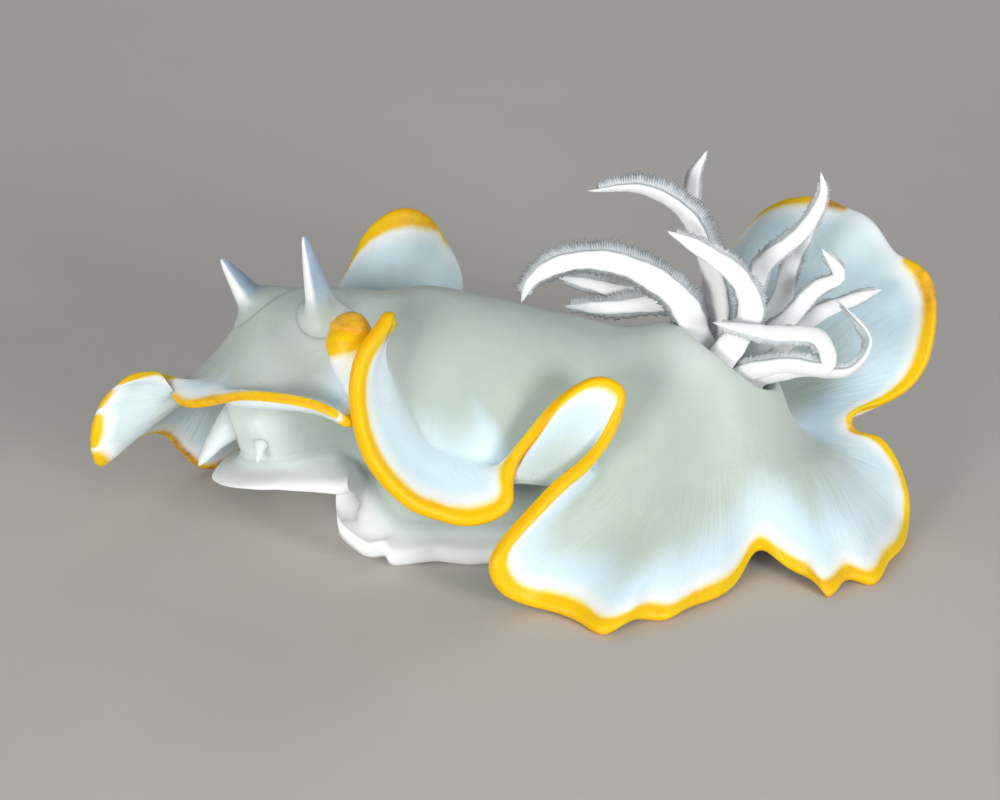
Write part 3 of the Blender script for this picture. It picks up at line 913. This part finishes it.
def oral_tentacle(side, look):
    """A small soft cone beside the mouth, its broad root sunk into the skin of the face."""
    turn0, down, radius, tip = ORAL[side]
    tip = np.array(tip)
    row_back, sway, sunk = {"left": (0.1, -0.5, 2.6), "right": (0.1, 0.6, 1.4)}[side]
    root, out = (a[0] for a in flank(np.array([math.radians(turn0)]), down))
    sides, rows = 28, 44
    turn = np.linspace(0, 2 * np.pi, sides, endpoint=False)
    u = np.linspace(0, 1, rows)
    start, lean = root - out * sunk + (root - tip) * row_back, root + out * sway
    line = (1 - u)[:, None] ** 2 * start + 2 * (u * (1 - u))[:, None] * lean + u[:, None] ** 2 * tip
    along = unit(np.gradient(line, axis=0))
    level = unit(np.cross(along, [0, 0, 1.0]))
    raised = np.cross(level, along)
    size = radius * ((1 - u) ** 0.9 * 0.88 + 0.12) * np.sqrt(np.clip((1 - u) / 0.07, 0, 1)) + 0.35 * radius * np.exp(-u / 0.25) + 0.02
    points = [line[i] + size[i] * (np.cos(turn)[:, None] * level[i] + np.sin(turn)[:, None] * raised[i]) for i in range(rows)]
    points = np.concatenate(points + [line[-1:]])
    n = len(points)
    values = {"rim": np.full(n, 30.0), "wide": np.full(n, 0.5), "gold": np.zeros(n), "worn": np.zeros(n), "deep": np.full(n, 0.7),
              "white": np.full(n, 0.36), "wrinkle": np.zeros(n), "flow": points * 0.2}
    return new_piece(f"mouth_feeler_{side}", points, cone_faces(sides, rows), cone_uv(sides, rows), values, look, [f"oral_tentacle_{side}"])


def pleat(look):
    """A thumb-like fold of the mantle in front of the left lobe."""
    path = np.array([row[:3] for row in PLEAT])
    sides, rows = 48, 72
    u = 1 - (1 - np.linspace(0, 1, rows)) ** 1.5
    line, length = through(path, u)
    wide = np.interp(u, np.linspace(0, 1, len(PLEAT)), [row[3] for row in PLEAT])
    along = unit(np.gradient(line, axis=0))
    level = unit(np.cross(along, [0.15, 0.93, -0.35]))
    front = np.cross(along, level)
    turn = np.linspace(0, 2 * np.pi, sides, endpoint=False)
    end = wide[-1] * 1.15
    size = wide * np.sqrt(np.clip(1 - (np.clip(u * length - (length - end), 0, None) / end) ** 2, 0, 1))
    ring = (u - PLEAT_RING) * length
    size = size * (1 - 0.07 * np.exp(-((ring - 1.0) / 0.35) ** 2) + 0.05 * np.exp(-(ring / 0.5) ** 2))
    points, lumps = [], []
    for i in range(rows):
        bump = 1 + 0.05 * np.sin(3 * turn + 1.0 + 1.3 * u[i]) * smooth((ring[i] - 0.6) / 0.8)
        r = size[i] * bump
        points.append(line[i] + (np.cos(turn) * r)[:, None] * level[i] + (np.sin(turn) * r * 0.8)[:, None] * front[i])
    points = np.concatenate(points + [line[-1:]])
    place = np.concatenate([np.repeat(ring, sides), [ring[-1]]])
    slant = np.concatenate([np.tile(np.cos(turn) * 0.25, rows), [0.0]])
    place = place + slant
    past = smooth((place - 0.75) / 0.5)
    n = len(points)
    values = {"rim": np.where(place < 0, -place, 0.35 + 0.15 * np.sin(place * 3)), "wide": np.full(n, 1.15), "gold": 1 - 0.42 * past, "worn": past * 0.4, "deep": past,
              "white": 0.45 * (1 - past), "wrinkle": np.zeros(n), "flow": points * 0.2}
    return new_piece("pleat", points, cone_faces(sides, rows), cone_uv(sides, rows), values, look, ["mantle_left_pleat"])


# ---------------------------------------------------------------- gills
def stalk_path(row):
    name, turn, out, radius, *path = row
    a = math.radians(turn)
    x, y = GILL_CENTRE[0] + out * GILL_RING[0] * math.cos(a), GILL_CENTRE[1] + out * GILL_RING[1] * math.sin(a)
    root = on_back(x, -y, -POCKET_DEEP)
    return [root, on_back(x, -y, radius * 0.75 + GAP)] + [np.array(p) for p in path]


def build_gills(look):
    """Twelve stalks, each with two rows of fine leaflets along its inner side, joined into one mesh."""
    points, faces, uv, outer, leaf = [], [], [], [], []
    total = 0
    rng = np.random.default_rng(7)
    sides = 18
    for index, row in enumerate(GILLS):
        name, _, _, radius, *_ = row
        inner, spread, size, flat = GILL_LOOK[name]
        grey = 1.0 if name in GREY_GILLS else 0.45  # the leaflets of the others are shorter and whiter
        size = size if name in GREY_GILLS else size * 0.78
        path = stalk_path(row)
        _, length = through(path, [0.0])
        rows = max(24, int(length / 0.45))
        u = np.linspace(0, 1, rows)
        line, _ = through(path, u)
        along = unit(np.gradient(line, axis=0))
        side_in = np.array(inner, float)
        frames = []
        for t in along:  # the leaflets' side is carried along the stalk
            side_in = unit(side_in - t * (side_in @ t))
            frames.append(side_in)
        frames = np.array(frames)
        level = np.cross(along, frames)
        taper = (1 - (1 - GILL_TIP) * u ** 1.2) * np.sqrt(np.clip((1 - u) / 0.16, 0, 1)) ** 1.25
        wave = 1 + 0.05 * np.sin(u * length * 1.1 + index) + 0.03 * np.sin(u * length * 2.7 + 2 * index)
        r = radius * taper * wave + 0.02
        turn = np.linspace(0, 2 * np.pi, sides, endpoint=False)
        c, s = np.cos(turn), np.sin(turn)
        high = np.where(s > 0, 0.92 * np.abs(s) ** 1.5, -flat * np.abs(s) ** 0.8)
        wide = np.sign(c) * np.abs(c) ** 0.85 * np.where(s > 0, 1 - 0.25 * s, 1)
        body_points = line[:, None] + r[:, None, None] * (GILL_WIDE * wide[None, :, None] * level[:, None] + GILL_TALL * high[None, :, None] * frames[:, None])
        body_points = body_points.reshape(-1, 3)
        tip = line[-1] + along[-1] * 0.12
        j = np.arange(sides)
        f = grid_faces(sides, rows, total)
        cap = np.stack([total + (rows - 1) * sides + j, np.full(sides, total + rows * sides), total + (rows - 1) * sides + (j + 1) % sides, np.full(sides, -1)], -1)
        low_cap = np.stack([total + (j + 1) % sides, np.full(sides, total + rows * sides + 1), total + j, np.full(sides, -1)], -1)
        points += [body_points, tip[None], line[:1]]
        faces += [f, cap, low_cap]
        white = np.tile(np.clip(0.5 - 0.62 * s, 0, 1), rows)
        outer += [white, [1.0, 1.0]]
        leaf += [np.zeros(len(body_points)), [0.0, 0.0]]
        # the stalk's own patch of the map: a strip of it for each gill
        y0 = (index + 0.08) / 12
        y1 = (index + 0.72) / 12
        uu = np.stack([j / sides, j / sides, (j + 1) / sides, (j + 1) / sides], -1)[None] * (y1 - y0) + y0
        strip = np.empty((rows - 1, sides, 4, 2))
        strip[..., 1] = uu
        strip[..., 0, 0] = strip[..., 3, 0] = (0.02 + 0.96 * u[:-1])[:, None]
        strip[..., 1, 0] = strip[..., 2, 0] = (0.02 + 0.96 * u[1:])[:, None]
        uv.append(strip.reshape(-1, 2))
        for where in (0.985, 0.015):
            corner = np.stack([np.full((sides, 3), where), np.broadcast_to(y0 + (y1 - y0) * j[:, None] / sides, (sides, 3))], -1)
            uv.append((corner + np.array([[0, 0], [0.002, 0.001], [0, 0.002]])).reshape(-1, 2))
        total += len(body_points) + 2

        # two pleated, toothed leaves along the inner side
        teeth = int(length * 0.87 / TOOTH)
        at = 0.09 + 0.87 * np.arange(teeth * 3 + 1) / (teeth * 3)
        mid = np.stack([np.interp(at, u, line[:, a]) for a in range(3)], -1)
        t = unit(np.stack([np.interp(at, u, along[:, a]) for a in range(3)], -1))
        n = np.stack([np.interp(at, u, frames[:, a]) for a in range(3)], -1)
        n = unit(n - t * (n * t).sum(-1, keepdims=True))
        l = np.cross(t, n)
        rr = np.interp(at, u, r)[:, None]
        for side in (-1, 1):
            angle = math.radians(spread)
            way = unit(math.cos(angle) * n + side * math.sin(angle) * l + 0.28 * t)
            tall = np.repeat(rng.uniform(0.78, 1.12, teeth + 1), 3)[:len(at)]
            tooth = np.tile([0.74, 1.0, 0.90], teeth + 1)[:len(at)]
            long = size * np.sin(np.pi * np.clip(0.12 + 0.80 * at, 0, 1)) ** 0.55 * tall * tooth + 0.05
            pleats = np.tile([-0.11, 0.11, 0.02], teeth + 1)[:len(at)] * np.repeat(rng.uniform(0.7, 1.3, teeth + 1), 3)[:len(at)]
            start = mid + n * rr * 0.30 + side * l * rr * 0.62 * GILL_WIDE
            flat_way = unit(np.cross(way, t))
            stages = np.array([0.0, 0.35, 0.7, 1.0])
            bend = 0.18 * np.sin(at * length * 0.9 + index * 1.7 + side)
            ribbons = []
            for face in (1, -1):
                layer = []
                for v in stages:
                    thick = 0.07 * (1 - 0.6 * v)
                    layer.append(start + way * (long * v)[:, None] + flat_way * (face * thick + (pleats * min(v * 2, 1.0) + bend * v ** 2)[:, None]) - t * (0.10 * v))
                ribbons.append(np.stack(layer))
            around_points = np.concatenate([ribbons[0], ribbons[1][::-1]])  # one closed loop of rows
            m, k = around_points.shape[:2]
            i_, j_ = np.arange(m)[:, None] * k, np.arange(k - 1)[None, :]
            i2 = (np.arange(m) + 1)[:, None] % m * k
            f = np.stack([i_ + j_, i_ + j_ + 1, i2 + j_ + 1, i2 + j_], -1).reshape(-1, 4)
            f = f if side > 0 else f[:, ::-1]
            faces.append(total + f)
            points.append(around_points.reshape(-1, 3))
            outer.append(np.zeros(m * k))
            leaf.append(np.repeat(np.concatenate([stages, stages[::-1]]), k) * 0.95 * grey + 0.05)
            y0 = (index + (0.76 if side < 0 else 0.88)) / 12
            rows_v = y0 + 0.09 / 12 * np.arange(m + 1) / m
            cols_u = 0.02 + 0.96 * at
            corner = np.empty((m, k - 1, 4, 2))
            corner[..., 0, 0] = corner[..., 3, 0] = cols_u[:-1]
            corner[..., 1, 0] = corner[..., 2, 0] = cols_u[1:]
            corner[..., 0, 1] = corner[..., 1, 1] = rows_v[:-1, None]
            corner[..., 2, 1] = corner[..., 3, 1] = rows_v[1:, None]
            corner = corner.reshape(-1, 4, 2)
            uv.append((corner if side > 0 else corner[:, ::-1]).reshape(-1, 2))
            total += m * k
    points = np.concatenate(points)
    names = [n for n in NODES if n.startswith("gill_") and n != "gill_collar"]
    obj = new_piece("gills", points, np.concatenate(faces), np.concatenate(uv), {"outer": np.concatenate(outer), "leaf": np.concatenate(leaf)},
                    look, names)
    return obj


# ---------------------------------------------------------------- stage
def area(name, place, aim, size, power, colour):
    data = bpy.data.lights.new(name, "AREA")
    data.shape = "DISK"
    data.size, data.energy, data.color = size, power, colour
    obj = bpy.data.objects.new(name, data)
    bpy.context.scene.collection.objects.link(obj)
    obj.location = Vector(place)
    obj.rotation_euler = (Vector(aim) - Vector(place)).to_track_quat("-Z", "Y").to_euler()
    return obj


def stage():
    side, rows = 0.9, 2
    mesh = bpy.data.meshes.new("floor")
    mesh.from_pydata([(-side, -side, -0.00002), (side, -side, -0.00002), (side, side, -0.00002), (-side, side, -0.00002)], [], [(0, 1, 2, 3)])
    floor = bpy.data.objects.new("floor", mesh)
    bpy.context.scene.collection.objects.link(floor)
    made, tree, shader = nodes_of("studio_floor")
    g = Graph(tree)
    place = g.node("ShaderNodeTexCoord").outputs["Object"]
    g.link(g.mix(g.noise(place, 35.0, 3.0, 0.6), srgb(*FLOOR_TONE), srgb(*FLOOR_TONE_2)), shader.inputs["Base Color"])
    shader.inputs["Roughness"].default_value = 0.85
    shader.inputs["Specular IOR Level"].default_value = 0.2
    mesh.materials.append(made)

    world = bpy.data.worlds.new("studio")
    bpy.context.scene.world = world
    world.use_nodes = True
    world.node_tree.nodes["Background"].inputs["Color"].default_value = WORLD_TONE
    world.node_tree.nodes["Background"].inputs["Strength"].default_value = WORLD_POWER
    for row in LIGHTS:
        area(*row)


def camera():
    a, e, r = map(math.radians, (CAMERA_AZ, CAMERA_EL, CAMERA_ROLL))
    away = np.array([math.sin(a) * math.cos(e), -math.cos(a) * math.cos(e), math.sin(e)])
    right = np.array([math.cos(a), math.sin(a), 0.0])
    up = np.cross(away, right)
    right, up = math.cos(r) * right + math.sin(r) * up, -math.sin(r) * right + math.cos(r) * up
    place = (np.array(CAMERA_AIM) + away * CAMERA_FAR) * SCALE
    data = bpy.data.cameras.new("camera")
    data.sensor_width = 36.0
    data.lens = 36.0 * CAMERA_PX_MM * CAMERA_FAR / 1000.0
    data.clip_start, data.clip_end = 0.01, 10.0
    obj = bpy.data.objects.new("camera", data)
    bpy.context.scene.collection.objects.link(obj)
    obj.matrix_world = Matrix([[right[0], up[0], away[0], place[0]], [right[1], up[1], away[1], place[1]],
                               [right[2], up[2], away[2], place[2]], [0, 0, 0, 1]])
    bpy.context.scene.camera = obj


# ---------------------------------------------------------------- the scene
SKIN = skin_material()
FEELER = feeler_material()
GILL = gill_material()
CORE = plain_material()
for node in NODES.values():
    node.data.materials.clear()
    node.data.materials.append(CORE)

build_skin(SKIN)
for which in ("left", "right"):
    rhinophore(which, FEELER)
    oral_tentacle(which, SKIN)
pleat(SKIN)
build_gills(GILL)
stage()
camera()
bpy.context.scene.view_settings.view_transform = "Standard"
bpy.context.scene.view_settings.look = "None"

bpy.context.view_layer.update()
